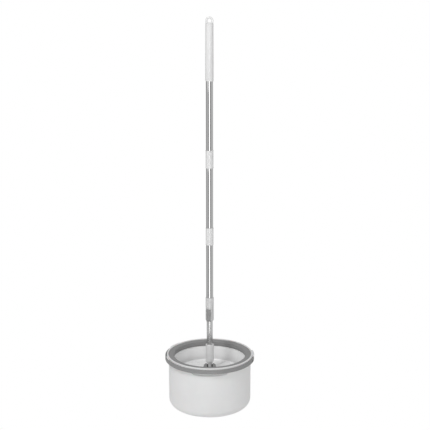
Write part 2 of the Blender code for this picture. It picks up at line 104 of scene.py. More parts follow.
def start(name, code, **sockets):
    """A material with one Principled shader, and the Object coordinates to hang patterns on."""
    made = bpy.data.materials.new(name)
    made.use_nodes = True
    tree = made.node_tree
    tree.nodes.clear()
    shader = add(tree, "ShaderNodeBsdfPrincipled", {"Base Color": linear(code), **sockets})
    add(tree, "ShaderNodeOutputMaterial", {"Surface": shader.outputs["BSDF"]})
    place = add(tree, "ShaderNodeTexCoord").outputs["Object"]
    return made, tree, shader, place


def per(mm):
    """Pattern scale for features of that many millimetres."""
    return 1000 / mm


# numbers of a colour mix node's two inputs, and of its output
COLOUR_A, COLOUR_B, MIXED = 6, 7, 2
print("mid grey is", round(linear("#808080")[0], 3), "in linear light")

# %% [markdown]
# ## Stage and light
#
# A white paper sweep and a tent of diffusers light the mop, as in a catalogue studio. The tent is
# the world itself: mostly pale grey, with a bright diffuser in front and darker gaps beside it. A
# polished tube shows that tent as long vertical stripes, which is what makes it read as steel.

# %% Paper sweep
scene = bpy.context.scene
scene.view_settings.view_transform = "Standard"

# The sweep sends light back up, yet looks plain white to the camera.
FLOOR_R, FLOOR_DROP, FLOOR_GLOW = 0.6, 0.0006, 0.25
paper = bpy.data.materials.new("paper_sweep_white")
paper.use_nodes = True
tree = paper.node_tree
tree.nodes.clear()
matt = add(tree, "ShaderNodeBsdfDiffuse", {"Color": linear("#D0D0D0")})
glow = add(tree, "ShaderNodeEmission", {"Color": (1, 1, 1, 1), "Strength": FLOOR_GLOW})
lit = add(tree, "ShaderNodeAddShader", {0: matt.outputs[0], 1: glow.outputs[0]})
blank = add(tree, "ShaderNodeEmission", {"Color": (1, 1, 1, 1), "Strength": 1.0})
seen = add(tree, "ShaderNodeLightPath").outputs["Is Camera Ray"]
both = add(tree, "ShaderNodeMixShader", {0: seen, 1: lit.outputs[0], 2: blank.outputs[0]})
add(tree, "ShaderNodeOutputMaterial", {"Surface": both.outputs[0]})
bm = bmesh.new()
bmesh.ops.create_circle(bm, cap_ends=True, segments=96, radius=FLOOR_R)
floor_mesh = bpy.data.meshes.new("studio_floor")
bm.to_mesh(floor_mesh)
bm.free()
floor = bpy.data.objects.new("studio_floor", floor_mesh)
floor.location.z = -FLOOR_DROP
scene.collection.objects.link(floor)
floor_mesh.materials.append(paper)
print("paper sweep", 2 * FLOOR_R, "m across")

# %% [markdown]
# The tent's wall is a ramp of brightness round the horizon, and an even ceiling closes it above.
# The bright strip in front draws the line of light down the pole.

# %% Tent of diffusers
world = bpy.data.worlds.new("diffuser_tent")
scene.world = world
world.use_nodes = True
tree = world.node_tree
tree.nodes.clear()
ray = add(tree, "ShaderNodeTexCoord").outputs["Generated"]
axes = add(tree, "ShaderNodeSeparateXYZ", {"Vector": ray})
front = add(tree, "ShaderNodeMath", {0: axes.outputs["Y"], 1: -1.0}, operation="MULTIPLY")
turn = add(tree, "ShaderNodeMath", {0: axes.outputs["X"], 1: front.outputs[0]},
           operation="ARCTAN2")
share = add(tree, "ShaderNodeMapRange", {"Value": turn.outputs[0], "From Min": -math.pi,
                                         "From Max": math.pi})
# Brightness of the tent's wall by bearing in degrees: 0 is the front, negative is the left.
TENT = ((-180, 0.50), (-130, 0.44), (-95, 0.48), (-64, 0.72), (-46, 0.48), (-9, 0.42), (-7, 3.2),
        (9, 3.2), (11, 0.36), (44, 0.40), (71, 0.70), (110, 0.66), (180, 0.50))
ramp = add(tree, "ShaderNodeValToRGB", {"Fac": share.outputs["Result"]})
while len(ramp.color_ramp.elements) < len(TENT):
    ramp.color_ramp.elements.new(0.5)
BRIGHTEST = max(level for bearing, level in TENT)
for stop, (bearing, level) in zip(ramp.color_ramp.elements, TENT):
    stop.position = bearing / 360 + 0.5
    stop.color = (*[level / BRIGHTEST] * 3, 1)
# The wall gives way to an even ceiling between these two heights.
WALL_ENDS, CEILING_STARTS, CEILING = 0.15, 0.6, 0.55
high = add(tree, "ShaderNodeMapRange", {"Value": axes.outputs["Z"], "From Min": WALL_ENDS,
                                        "From Max": CEILING_STARTS})
wall = add(tree, "ShaderNodeBackground", {"Color": ramp.outputs["Color"], "Strength": BRIGHTEST})
ceiling = add(tree, "ShaderNodeBackground", {"Color": (1, 1, 1, 1), "Strength": CEILING})
tent = add(tree, "ShaderNodeMixShader", {0: high.outputs["Result"], 1: wall.outputs[0],
                                         2: ceiling.outputs[0]})
white = add(tree, "ShaderNodeBackground", {"Color": (1, 1, 1, 1), "Strength": 1.0})
seen = add(tree, "ShaderNodeLightPath").outputs["Is Camera Ray"]
both = add(tree, "ShaderNodeMixShader", {0: seen, 1: tent.outputs[0], 2: white.outputs[0]})
add(tree, "ShaderNodeOutputWorld", {"Surface": both.outputs[0]})
print("tent with", len(TENT), "brightness stops")

# %% [markdown]
# Three softboxes add a little direction. The highest one reaches down into the basket.

# %% Softboxes
AIM = Vector((0, 0, 0.3))
# name, place, width in metres, and power in watts
for name, at, size, power in (
    ("key_softbox", (-1.9, -2.1, 1.3), 1.2, 4),
    ("fill_softbox", (1.7, -2.4, 1.7), 0.4, 5),
    ("top_softbox", (-1.35, -2.25, 3.6), 0.75, 49),
):
    data = bpy.data.lights.new(name, "AREA")
    data.size = size
    data.energy = power
    lamp = bpy.data.objects.new(name, data)
    lamp.location = at
    lamp.rotation_euler = (Vector(at) - AIM).to_track_quat("Z", "Y").to_euler()
    scene.collection.objects.link(lamp)
    print(name, "gives", power, "W")

# %% [markdown]
# ## Finishes: moulded plastics
#
# The bucket, basket and mop plate are injection-moulded polypropylene. Its skin is satin, with a
# very low orange peel from the mould and faint flow clouds in the colour. The foot, collars and
# grip are ABS, which takes a brighter polish. The grey parts come from a spark-eroded mould, whose
# skin is a fine even grain. Real grain is near 0.2 mm; here it is 0.7 mm, so that it shows.


# %% Moulded plastics
def moulded(name, pale, deep, rough, peel_mm, peel_depth, cloud_mm=45, grain=0.0, grain_mm=0.7,
            **sockets):
    """Moulded plastic: clouded colour, uneven gloss, orange peel and an optional mould grain."""
    made, tree, shader, place = start(name, pale, **sockets)
    cloud = add(tree, "ShaderNodeTexNoise", {"Vector": place, "Scale": per(cloud_mm), "Detail": 3.0,
                                             "Roughness": 0.55})
    tint = add(tree, "ShaderNodeMix", {0: cloud.outputs["Fac"], COLOUR_A: linear(pale),
                                       COLOUR_B: linear(deep)}, data_type="RGBA")
    tree.links.new(tint.outputs[MIXED], shader.inputs["Base Color"])
    smear = add(tree, "ShaderNodeTexNoise", {"Vector": place, "Scale": per(9), "Detail": 4.0})
    gloss = add(tree, "ShaderNodeMapRange", {"Value": smear.outputs["Fac"], "From Min": 0.3,
                                             "From Max": 0.7, "To Min": rough - 0.03,
                                             "To Max": rough + 0.04})
    tree.links.new(gloss.outputs["Result"], shader.inputs["Roughness"])
    peel = add(tree, "ShaderNodeTexNoise", {"Vector": place, "Scale": per(peel_mm), "Detail": 2.0})
    skin = add(tree, "ShaderNodeBump", {"Strength": 0.5, "Distance": peel_depth,
                                        "Height": peel.outputs["Fac"]})
    if grain:
        pit = add(tree, "ShaderNodeTexNoise", {"Vector": place, "Scale": per(grain_mm),
                                               "Detail": 1.0})
        skin = add(tree, "ShaderNodeBump", {"Strength": 0.6, "Distance": grain,
                                            "Height": pit.outputs["Fac"],
                                            "Normal": skin.outputs["Normal"]})
    tree.links.new(skin.outputs["Normal"], shader.inputs["Normal"])
    return made


# Satin natural-white polypropylene: the bucket, with a soft broad sheen.
WHITE_PP = moulded("polypropylene_satin_white", "#E6E6E6", "#DEDEDE", 0.36, 3.0, 0.00006,
                   **{"IOR": 1.49, "Subsurface Weight": 0.04, "Subsurface Scale": 0.004})
# Bright white polypropylene, dyed whiter than the bucket: basket and mop plate, with a soft gloss.
BRIGHT_PP = moulded("polypropylene_gloss_bright_white", "#F6F6F6", "#F0F0F0", 0.30, 3.0, 0.00004,
                    **{"IOR": 1.49})
# Grey polypropylene from a spark-eroded mould: even grain, dull, grey rather than black.
GREY_PP = moulded("polypropylene_grained_grey", "#909090", "#888888", 0.46, 4.0, 0.00004,
                  grain=0.00005, **{"IOR": 1.49})
# Light grey ABS: the lock housing, semi-gloss.
GREY_ABS = moulded("abs_semigloss_light_grey", "#D2D2D2", "#CACACA", 0.32, 2.5, 0.00004,
                   **{"IOR": 1.53})
# Polished white ABS: grip, collars and foot, with the brightest gloss of the plastics.
WHITE_ABS = moulded("abs_polished_white", "#DFDFDF", "#D9D9D9", 0.24, 3.5, 0.000008,
                    **{"IOR": 1.53})
# Natural acetal: bearings and nut, waxy and a touch translucent.
ACETAL = moulded("acetal_turned_natural", "#E8E7E2", "#DFDED8", 0.38, 1.6, 0.00003, 20,
                 **{"IOR": 1.48, "Subsurface Weight": 0.1, "Subsurface Scale": 0.003})
# Thermoplastic rubber: feet and brake shoe, matt, with a pale bloom in the colour.
RUBBER = moulded("rubber_matt_black", "#2B2B2B", "#3B3B3A", 0.78, 1.5, 0.00008, 12,
                 grain=0.00008, grain_mm=0.5, **{"IOR": 1.52})
print("plastics:", WHITE_PP.name, GREY_PP.name, WHITE_ABS.name, RUBBER.name)

# %% [markdown]
# ## Finishes: metals
#
# The pole is stainless tube, polished on a belt while it turns. The belt leaves hair-fine rings
# round the tube, which break the reflections up a little along its length. Small steel parts are
# zinc plated: duller, with a crystalline blotch. Both keep the default IOR, as metals should.


# %% Metals
def metal(name, bright, dark, rough, spread, stretch, fine_mm, depth):
    """Metal with a blotched tone, and polishing lines stretched by the three factors given."""
    made, tree, shader, place = start(name, bright, Metallic=1.0)
    lay = add(tree, "ShaderNodeMapping", {"Vector": place, "Scale": stretch})
    hair = add(tree, "ShaderNodeTexNoise", {"Vector": lay.outputs["Vector"], "Scale": per(fine_mm),
                                            "Detail": 3.0, "Roughness": 0.6})
    tone = add(tree, "ShaderNodeMix", {0: hair.outputs["Fac"], COLOUR_A: linear(bright),
                                       COLOUR_B: linear(dark)}, data_type="RGBA")
    tree.links.new(tone.outputs[MIXED], shader.inputs["Base Color"])
    gloss = add(tree, "ShaderNodeMapRange", {"Value": hair.outputs["Fac"], "From Min": 0.25,
                                             "From Max": 0.75, "To Min": rough - spread,
                                             "To Max": rough + spread})
    tree.links.new(gloss.outputs["Result"], shader.inputs["Roughness"])
    skin = add(tree, "ShaderNodeBump", {"Strength": 0.35, "Distance": depth,
                                        "Height": hair.outputs["Fac"]})
    tree.links.new(skin.outputs["Normal"], shader.inputs["Normal"])
    return made


# Belt-polished stainless tube: rings of polishing lines, drawn 0.8 mm apart so that they show.
STEEL = metal("stainless_belt_polished", "#D6D6D6", "#CBCBCB", 0.085, 0.02, (0.05, 0.05, 1.0), 0.8,
              0.000006)
# The inner tube is only satin, because it slides: the same rings, with a wider and softer gloss.
SATIN = metal("stainless_satin_sliding", "#DCDCDC", "#D2D2D2", 0.27, 0.03, (0.05, 0.05, 1.0), 0.8,
              0.000008)
# Bright zinc plate: even blotches of 2 mm, softer gloss.
PLATED = metal("steel_zinc_plated", "#C9CACC", "#B4B6BA", 0.30, 0.07, (1.0, 1.0, 1.0), 2.0, 0.00002)
print("metals:", STEEL.name, SATIN.name, PLATED.name)

# %% [markdown]
# ## Finishes: textiles
#
# The mop pad is microfibre loop pile, soft and matt with a pale sheen where light grazes it. The
# tape that holds it is a woven band of tiny hooks, seen as a dark field of dots, with painted shade
# darkening the gaps between the hooks.

# %% Textiles
FIBRE, tree, shader, place = start("microfibre_loop_pile", "#E4E4E2", Roughness=0.92,
                                   **{"Sheen Weight": 0.35, "Sheen Roughness": 0.5})
patch = add(tree, "ShaderNodeTexNoise", {"Vector": place, "Scale": per(6), "Detail": 4.0})
tone = add(tree, "ShaderNodeMix", {0: patch.outputs["Fac"], COLOUR_A: linear("#EDEDEB"),
                                   COLOUR_B: linear("#D4D4D2")}, data_type="RGBA")
tree.links.new(tone.outputs[MIXED], shader.inputs["Base Color"])
# strands of 0.6 mm, twice the real width so that they show
strand = add(tree, "ShaderNodeTexWave", {"Vector": place, "Scale": per(3.8), "Distortion": 6.0,
                                         "Detail": 2.0})
skin = add(tree, "ShaderNodeBump", {"Strength": 0.5, "Distance": 0.0002,
                                    "Height": strand.outputs["Fac"]})
tree.links.new(skin.outputs["Normal"], shader.inputs["Normal"])

HOOK, tree, shader, place = start("hook_tape_nylon", "#4A4A4C", Roughness=0.7,
                                  **{"Sheen Weight": 0.2})
dots = add(tree, "ShaderNodeTexVoronoi", {"Vector": place, "Scale": per(1.4), "Randomness": 0.35})
# painted shade: the colour is lighter on the hook heads and darker in the gaps between them,
# following the same height as the bump
tone = add(tree, "ShaderNodeMix", {0: dots.outputs["Distance"], COLOUR_A: linear("#6A6A6C"),
                                   COLOUR_B: linear("#2E2E30")}, data_type="RGBA")
tree.links.new(tone.outputs[MIXED], shader.inputs["Base Color"])
skin = add(tree, "ShaderNodeBump", {"Strength": 0.8, "Distance": 0.0004,
                                    "Height": dots.outputs["Distance"]}, invert=True)
tree.links.new(skin.outputs["Normal"], shader.inputs["Normal"])
print("textiles:", FIBRE.name, HOOK.name)

# %% [markdown]
# ## Parts that keep their own mesh
#
# Shafts, bearings and plugs inside the mop already have the right shape and only change finish.
# This table says which of them gets which.

# %% Finishes for the carried-over parts
KEPT = {
    PLATED: ["axle", "thrust_washer", "clutch_ring", "rod_stop", "lever_pin"],
    ACETAL: ["basket_bush", "drive_nut", "slide_bush", "rod_anchor", "screw_plug_1",
             "screw_plug_2"],
    RUBBER: ["foot_1", "foot_2", "foot_3", "foot_4", "brake_shoe"],
    GREY_PP: ["hub_socket", "handle_pin_left", "handle_pin_right"],
    HOOK: ["hook_disc"],
}
for finish, names in KEPT.items():
    for name in names:
        NODES[name].data.materials.clear()
        NODES[name].data.materials.append(finish)
print("kept", sum(map(len, KEPT.values())), "parts with their own mesh")

# %% [markdown]
# ## Turning a profile
#
# Most of the mop is round, so most pieces are lathe work: draw half of the cross-section, then turn
# it about Z. A moulded edge is never sharp, so a corner of the drawing may carry a fillet radius.
# The closed profile gives a solid wall, with its faces recalculated to point outwards.


# %% Lathe helpers
def rounded(corners, steps=5):
    """Closed outline of (r, z), with each (r, z, fillet) corner turned into an arc."""
    outline = []
    for i, corner in enumerate(corners):
        here = Vector(corner[:2])
        if len(corner) < 3:
            outline.append(tuple(here))
            continue
        before = (Vector(corners[i - 1][:2]) - here).normalized()
        after = (Vector(corners[(i + 1) % len(corners)][:2]) - here).normalized()
        half = before.angle(after) / 2
        reach = corner[2] / math.tan(half)
        centre = here + (before + after).normalized() * (corner[2] / math.sin(half))
        first = here + before * reach - centre
        last = here + after * reach - centre
        sweep = first.angle(last)
        count = steps if corner[2] < 0.008 else steps * 3
        for k in range(count + 1):
            a = math.sin((1 - k / count) * sweep) / math.sin(sweep)
            b = math.sin(k / count * sweep) / math.sin(sweep)
            outline.append(tuple(centre + first * a + last * b))
    return outline


def rows(r, low, high, step):
    """Points of a straight wall, close enough together to be shaped afterwards."""
    count = max(1, round(abs(high - low) / step))
    return [(r, low + (high - low) * k / count) for k in range(count + 1)]


def turned(outline, steps):
    """Mesh of a closed outline turned about Z; points on the axis close into poles."""
    bm = bmesh.new()
    rings = []
    for r, z in outline:
        count = 1 if r < 1e-7 else steps
        ring = [bm.verts.new((r * math.cos(a), r * math.sin(a), z))
                for a in (2 * math.pi * k / steps for k in range(count))]
        rings.append(ring * (steps // count))
    for low, high in zip(rings, rings[1:] + rings[:1]):
        for k in range(steps):
            ring = dict.fromkeys((low[k], low[(k + 1) % steps], high[(k + 1) % steps], high[k]))
            if len(ring) > 2:
                bm.faces.new(list(ring))
    return bm


ROUND = 240      # facets round the bucket
SLIM = 72        # facets round the pole
FINE = 3         # steps in the fillets of small parts
print("round parts have", ROUND, "facets, slim ones", SLIM)

# %% [markdown]
# ## Making a piece
#
# A finished piece is a plain mesh with one material. It rides on the body that moves it, and stands
# for the plain parts it replaces.


# %% Piece helpers
def absorb(bm, other):
    """Moves the shape of one bmesh into another."""
    spare = bpy.data.meshes.new("spare")
    other.to_mesh(spare)
    other.free()
    bm.from_mesh(spare)
    bpy.data.meshes.remove(spare)


def outward(name, bm):
    """Mesh of a closed bmesh, with its faces pointing outwards."""
    bmesh.ops.recalc_face_normals(bm, faces=bm.faces)
    if bm.calc_volume(signed=True) < 0:
        bmesh.ops.reverse_faces(bm, faces=bm.faces)
    mesh = bpy.data.meshes.new(name)
    bm.to_mesh(mesh)
    bm.free()
    return mesh


def evaluated(thing):
    """Plain mesh of an object with its modifiers applied."""
    ready = thing.evaluated_get(bpy.context.evaluated_depsgraph_get())
    return bpy.data.meshes.new_from_object(ready)


def staged(name, mesh):
    """New object with this mesh, linked into the scene."""
    made = bpy.data.objects.new(name, mesh)
    scene.collection.objects.link(made)
    return made


SHARP = math.radians(40)      # edges that turn more than this stay crisp


def settle(name, mesh, finish, body, stands_for=()):
    """Puts a finished mesh in the scene: shading, material, body, and the parts it stands for."""
    mesh.materials.clear()
    mesh.materials.append(finish)
    mesh.polygons.foreach_set("use_smooth", [True] * len(mesh.polygons))
    mesh.set_sharp_from_angle(angle=SHARP)
    made = staged(name, mesh)
    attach(made, body)
    if stands_for:
        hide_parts(*stands_for)
    print(name, len(mesh.polygons), "faces, rides on", body)
    return made


def piece(name, bm, finish, body, stands_for=()):
    """Settles the shape of a bmesh as a finished piece."""
    return settle(name, outward(name, bm), finish, body, stands_for)


print("piece helpers ready")

# %% [markdown]
# ## Bucket
#
# The bucket is a straight-walled tub with a big radius at its base and a bead that grips the grey
# ring. Under the handle the wall is pressed inwards into a shallow scoop for the fingers. The scoop
# is made by moving points of both skins inwards, so that the wall keeps its thickness.

# %% Bucket
BODY_R, WALL = 0.1325, 0.0025
BASE_Z, SEAT_Z, BEAD_R, BEAD_Z, RING_R = 0.0015, 0.1716, 0.1387, 0.1757, 0.1332
GAP = 0.0003
AXLE_HOLE = 0.0043
inner_r = BODY_R - WALL
tub = rounded([
    (0, BASE_Z), (BODY_R, BASE_Z, 0.0250), *rows(BODY_R, 0.1300, 0.1655, 0.0008),
    (BODY_R + 0.0004, 0.1662), (BEAD_R - 0.0010, 0.1692, 0.0008), (BEAD_R, 0.1705, 0.0006),
    (BEAD_R, BEAD_Z, 0.0016), (RING_R + GAP, BEAD_Z, 0.0012), (RING_R + GAP, SEAT_Z),
    (inner_r, SEAT_Z), *rows(inner_r, 0.1660, 0.1300, 0.0008),
    (inner_r, BASE_Z + WALL + 0.0005, 0.0225), (0.0160, BASE_Z + WALL + 0.0005),
    (0.0110, 0.0100), (0.0110, 0.0340, 0.0006), (AXLE_HOLE, 0.0340), (AXLE_HOLE, 0.0100),
    (0, 0.0100),
])
bm = turned(tub, ROUND)
# the scoop's middle height, half width, half height and depth, and the width of its soft edge
SCOOP_Z, SCOOP_HALF, SCOOP_RISE, SCOOP_DEEP, SCOOP_EDGE = 0.1570, 0.0640, 0.0105, 0.0055, 0.32
for v in bm.verts:
    reach = math.hypot(v.co.x, v.co.y)
    across = math.atan2(v.co.x, -v.co.y) * BODY_R / SCOOP_HALF
    up = (v.co.z - SCOOP_Z) / SCOOP_RISE
    edge = 1 - math.sqrt(across ** 4 + up ** 2)
    if edge > 0:
        press = min(1, edge / SCOOP_EDGE)
        depth = SCOOP_DEEP * press * press * (3 - 2 * press)
        v.co.x *= (reach - depth) / reach
        v.co.y *= (reach - depth) / reach


def arc_bar(bm, section, angles, swell):
    """Bar of (r, z) sections swept round Z; swell gives each section's height, from 0 to 1."""
    middle = (min(z for r, z in section) + max(z for r, z in section)) / 2
    rings = []
    for a, tall in zip(angles, swell):
        rings.append([
            bm.verts.new((r * math.cos(a), r * math.sin(a), middle + (z - middle) * tall))
            for r, z in section])
    count = len(section)
    for near, far in zip(rings, rings[1:]):
        for k in range(count):
            bm.faces.new((near[k], near[(k + 1) % count], far[(k + 1) % count], far[k]))
    bm.faces.new(rings[0][::-1])
    bm.faces.new(rings[-1])


def tipped(first, last, radius, mean, count, tips=9):
    """Angles along a bar and the height share of each, so that both tips are half round."""
    angles, swell = [], []
    for k in range(tips):
        t = math.pi / 2 * (k + 0.6) / tips
        angles.append(first - radius / mean * math.cos(t))
        swell.append(max(0.12, math.sin(t)))
    steady = [first + (last - first) * k / count for k in range(count + 1)]
    return (angles + steady + [last + first - a for a in reversed(angles)],
            swell + [1.0] * (count + 1) + swell[::-1])


# The handle's pivots lie on a line turned a little from the sideways axis. Beside each pivot, an
# ear on the wall stops the handle's tail.
YAW = math.radians(-16)
BAIL_IN, BAIL_OUT, BAIL_LOW, BAIL_HIGH = 0.1405, 0.1441, 0.1585, 0.1716
PIVOT_Z = (BAIL_LOW + BAIL_HIGH) / 2
TAIL, EAR = math.radians(8), math.radians(20)
for sign, where in ((1, YAW), (-1, YAW + math.pi)):
    near = where + sign * (TAIL + math.radians(0.8))
    span = sorted((near + sign * 0.016, near + sign * (EAR - 0.016)))
    ear = rounded([(RING_R + 0.0020, BAIL_LOW + 0.0012, 0.0010),
                   (BAIL_OUT - 0.0002, BAIL_LOW + 0.0012, 0.0012),
                   (BAIL_OUT - 0.0002, BEAD_Z - 0.0014, 0.0014),
                   (RING_R + 0.0020, BEAD_Z - 0.0014, 0.0010)], FINE)
    arc_bar(bm, ear, *tipped(*span, 0.0022, 0.1385, 18, 5))
    boss_in, boss_out = BODY_R - 0.0012, BAIL_IN - 0.0010
    boss = rounded([(boss_in, PIVOT_Z - 0.006, 0.0006), (boss_out, PIVOT_Z - 0.006, 0.0006),
                    (boss_out, PIVOT_Z + 0.006, 0.0006), (boss_in, PIVOT_Z + 0.006, 0.0006)], 2)
    arc_bar(bm, boss, [where - 0.066, where + 0.066], [1, 1])
piece("bucket_tub", bm, WHITE_PP, "bucket", ["bucket_shell"])

# %% [markdown]
# ## Rim ring and carrying handle
#
# The ring's top is slightly crowned, which gives it a soft light band between two darker edges. Its
# inner lip turns down over the basket. The handle is a half ring with half-round tips and a shallow
# groove along its outer face, moulded there to keep the thick band from sinking.

# %% Rim ring and carrying handle
RING_IN, RING_Z, LIP_Z = 0.1158, 0.1748, 0.1590
crown = [(RING_R - 0.0016 - (RING_R - RING_IN - 0.0040) * k / 12,
          RING_Z - 0.0009 + 0.0009 * math.sin(math.pi * k / 12)) for k in range(13)]
ring = rounded([
    (RING_IN, LIP_Z, 0.0006), (RING_IN + 0.0022, LIP_Z, 0.0006),
    (RING_IN + 0.0022, SEAT_Z + 0.0001), (0.1268, SEAT_Z + 0.0001), (0.1268, 0.1640, 0.0004),
    (0.1294, 0.1640, 0.0004), (0.1294, SEAT_Z + GAP), (RING_R, SEAT_Z + GAP),
    (RING_R, RING_Z - 0.0012, 0.0006), *crown, (RING_IN, RING_Z - 0.0022, 0.0010),
])
piece("rim_ring_grey", turned(ring, ROUND), GREY_PP, "bucket", ["rim_ring"])

GROOVE = 0.0005
bar = rounded([
    (BAIL_IN, BAIL_LOW, 0.0010), (BAIL_OUT, BAIL_LOW, 0.0012),
    (BAIL_OUT, BAIL_LOW + 0.0034, 0.0004), (BAIL_OUT - GROOVE, BAIL_LOW + 0.0042, 0.0004),
    (BAIL_OUT - GROOVE, BAIL_HIGH - 0.0042, 0.0004), (BAIL_OUT, BAIL_HIGH - 0.0034, 0.0004),
    (BAIL_OUT, BAIL_HIGH, 0.0012), (BAIL_IN, BAIL_HIGH, 0.0010),
], FINE)
HALF_TIP, MEAN_R = 0.0065, 0.1423
bail_first = YAW - math.pi - TAIL + HALF_TIP / MEAN_R
bail_last = YAW + TAIL - HALF_TIP / MEAN_R
bm = bmesh.new()
arc_bar(bm, bar, *tipped(bail_first, bail_last, HALF_TIP, MEAN_R, 140))
piece("carry_handle_band", bm, GREY_PP, "bail", ["carry_handle"])

# %% [markdown]
# ## A helper for Geometry Nodes
#
# Repeated details grow from a small node tree instead of a loop: the tree's inputs are the sizes a
# maker would change. One helper makes the tree. Another sets its inputs by their identifiers, has
# it worked out once, and keeps only the plain mesh.


# %% Geometry Nodes helpers
KINDS = {int: "Int", float: "Float", bpy.types.Material: "Material"}


def recipe(name, **inputs):
    """A Geometry Nodes tree with named inputs; the returned node's outputs are those inputs."""
    tree = bpy.data.node_groups.new(name, "GeometryNodeTree")
    tree.interface.new_socket("Geometry", in_out="OUTPUT", socket_type="NodeSocketGeometry")
    for label, value in inputs.items():
        kind = KINDS.get(type(value), "Geometry")
        tree.interface.new_socket(label, in_out="INPUT", socket_type="NodeSocket" + kind)
    return tree, add(tree, "NodeGroupInput").outputs


def grown(tree, start_mesh=None, **values):
    """Plain mesh that the tree makes from these values."""
    maker = staged(tree.name, start_mesh or bpy.data.meshes.new(tree.name))
    step = maker.modifiers.new(tree.name, "NODES")
    step.node_group = tree
    for item in tree.interface.items_tree:
        if item.in_out == "INPUT" and item.name in values:
            step[item.identifier] = values[item.name]
    mesh = evaluated(maker)
    bpy.data.objects.remove(maker)
    return mesh


def round_row(tree, count, radius, shape):
    """Copies of a shape on a circle, each turned to face outwards."""
    dots = add(tree, "GeometryNodeMeshCircle", {"Vertices": count, "Radius": radius})
    index = add(tree, "GeometryNodeInputIndex").outputs[0]
    part = add(tree, "ShaderNodeMath", {0: index, 1: count}, operation="DIVIDE")
    angle = add(tree, "ShaderNodeMath", {0: part.outputs[0], 1: 2 * math.pi}, operation="MULTIPLY")
    spin = add(tree, "ShaderNodeCombineXYZ", {"Z": angle.outputs[0]})
    return add(tree, "GeometryNodeInstanceOnPoints", {
        "Points": dots.outputs["Mesh"], "Instance": shape, "Rotation": spin.outputs[0]}).outputs[0]


def real(tree, copies, height=0.0, turned_by=0.0):
    """Makes instances real, lifts them and turns the whole row about Z."""
    solid = add(tree, "GeometryNodeRealizeInstances", {0: copies}).outputs[0]
    return add(tree, "GeometryNodeTransform", {
        "Geometry": solid, "Translation": (0, 0, height), "Rotation": (0, 0, turned_by)}).outputs[0]


def deliver(tree, shape, finish):
    """Ends a tree: gives the shape its material and hands it out."""
    dressed = add(tree, "GeometryNodeSetMaterial", {"Geometry": shape, "Material": finish})
    add(tree, "NodeGroupOutput", {0: dressed.outputs[0]})


print("geometry helpers ready")

# %% [markdown]
# ## Basket
#
# The basket is the white bowl that the mop spins in. Twelve slots in its floor let the water out.
# A node tree lays the slot cutters round a circle, and one Boolean opens them all.

# %% Basket
BASKET_R, FLOOR_Z, BASKET_TOP = 0.1195, 0.0885, 0.1568
bowl = rounded([
    (0, 0.0820), (0.0090, 0.0820), (0.0090, 0.0394), (0.0125, 0.0394, 0.0005),
    (0.0125, 0.0800, 0.0008), (0.0180, FLOOR_Z - 0.0025),
    (BASKET_R - 0.0025, FLOOR_Z - 0.0025, 0.0060), (BASKET_R, BASKET_TOP - 0.0040),
    (BASKET_R + 0.0008, BASKET_TOP - 0.0030), (BASKET_R + 0.0008, BASKET_TOP, 0.0008),
    (BASKET_R - 0.0020, BASKET_TOP, 0.0008), (BASKET_R - 0.0045, FLOOR_Z, 0.0040), (0, FLOOR_Z),
])
tree, given = recipe("drain_slots", Slots=12, Middle=0.0, Length=0.0, Width=0.0)
size = add(tree, "ShaderNodeCombineXYZ", {"X": given["Length"], "Y": given["Width"], "Z": 0.02})
slab = add(tree, "GeometryNodeMeshCube", {"Size": size.outputs[0]})
row = round_row(tree, given["Slots"], given["Middle"], slab.outputs["Mesh"])
add(tree, "NodeGroupOutput", {0: real(tree, row, FLOOR_Z)})
cutter = staged("slot_cutter", grown(tree, Slots=12, Middle=0.079, Length=0.038, Width=0.005))
blank = staged("basket_blank", outward("basket_blank", turned(bowl, ROUND)))
cut = blank.modifiers.new("slots", "BOOLEAN")
cut.solver = "EXACT"
cut.object = cutter
mesh = evaluated(blank)
bpy.data.objects.remove(blank)
bpy.data.objects.remove(cutter)
settle("spin_basket", mesh, BRIGHT_PP, "rotor", ["basket"])

# %% [markdown]
# ## Mop plate and its screws
#
# The plate is a shallow white dish with a raised rim. Twelve low ribs run out from the hub, all
# from one tree.

# %% Mop plate and its ribs
PLATE_R, PLATE_Z, PLATE_TOP = 0.1030, 0.1062, 0.1195
dish = rounded([
    (0, PLATE_Z), (PLATE_R - 0.0010, PLATE_Z), (PLATE_R, PLATE_Z + 0.0015),
    (PLATE_R, 0.1175, 0.0012), (PLATE_R - 0.0034, 0.1175, 0.0008),
    (PLATE_R - 0.0055, 0.1142, 0.0010),
    (0.0600, 0.1158, 0.0060), (0.0310, PLATE_TOP, 0.0040), (0, PLATE_TOP),
])
piece("mop_plate_white", turned(dish, 144), BRIGHT_PP, "mop_head", ["mop_plate"])

RIB_SIZE, RIB_MIDDLE, RIB_Z = (0.052, 0.0016, 0.0030), 0.0650, 0.1152
tree, given = recipe("plate_ribs", Ribs=12, Finish=BRIGHT_PP)
rib = add(tree, "GeometryNodeMeshCube", {"Size": RIB_SIZE})
row = round_row(tree, given["Ribs"], RIB_MIDDLE, rib.outputs["Mesh"])
deliver(tree, real(tree, row, RIB_Z), given["Finish"])
settle("mop_plate_ribs", grown(tree, Ribs=12, Finish=BRIGHT_PP), BRIGHT_PP, "mop_head")

# %% [markdown]
# Four pan-head screws with cross recesses hold the grey socket on the plate. Each recess is two
# crossed bars taken out of the head.

